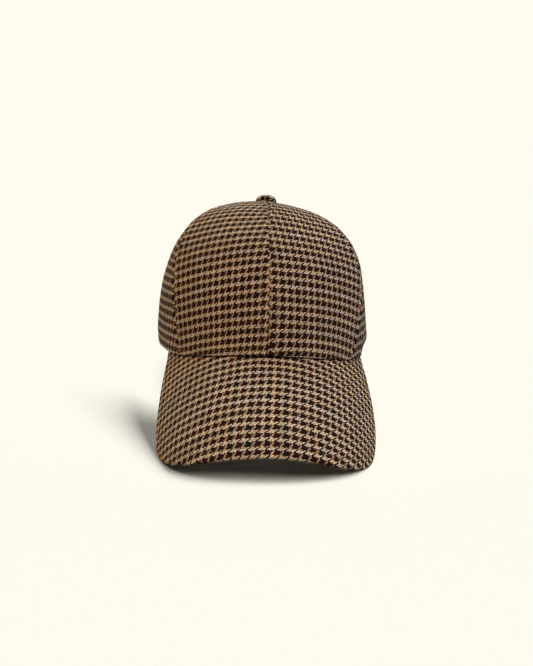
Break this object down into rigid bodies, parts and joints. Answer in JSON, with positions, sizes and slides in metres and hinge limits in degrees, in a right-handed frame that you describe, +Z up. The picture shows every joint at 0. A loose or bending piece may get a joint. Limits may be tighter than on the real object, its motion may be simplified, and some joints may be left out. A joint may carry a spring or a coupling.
{
  "type": "houndstooth cap",
  "caption": "Soft panelled cap in houndstooth wool with a long curved brim, a cloth-covered button on top and a closed back, lying on its brim and the back of its hem.",
  "frame": {"origin": "on the surface the cap lies on, under the middle of its bounding box", "axes": "+Z up, the front of the cap and its brim towards -Y, +X to the right as seen from the front"},
  "size_m": [0.162, 0.277, 0.151],
  "materials": {
    "houndstooth_cloth": "woven wool, tan and dark checks",
    "sweatband_cloth": "plain dark cotton twill"
  },
  "bodies": {
    "root": {"front_panel_left": "houndstooth_cloth", "front_panel_right": "houndstooth_cloth", "side_panel_left": "houndstooth_cloth", "side_panel_right": "houndstooth_cloth", "back_panel_left": "houndstooth_cloth", "back_panel_right": "houndstooth_cloth", "brim": "houndstooth_cloth", "top_button": "houndstooth_cloth", "sweatband": "sweatband_cloth"}
  },
  "joints": []
}
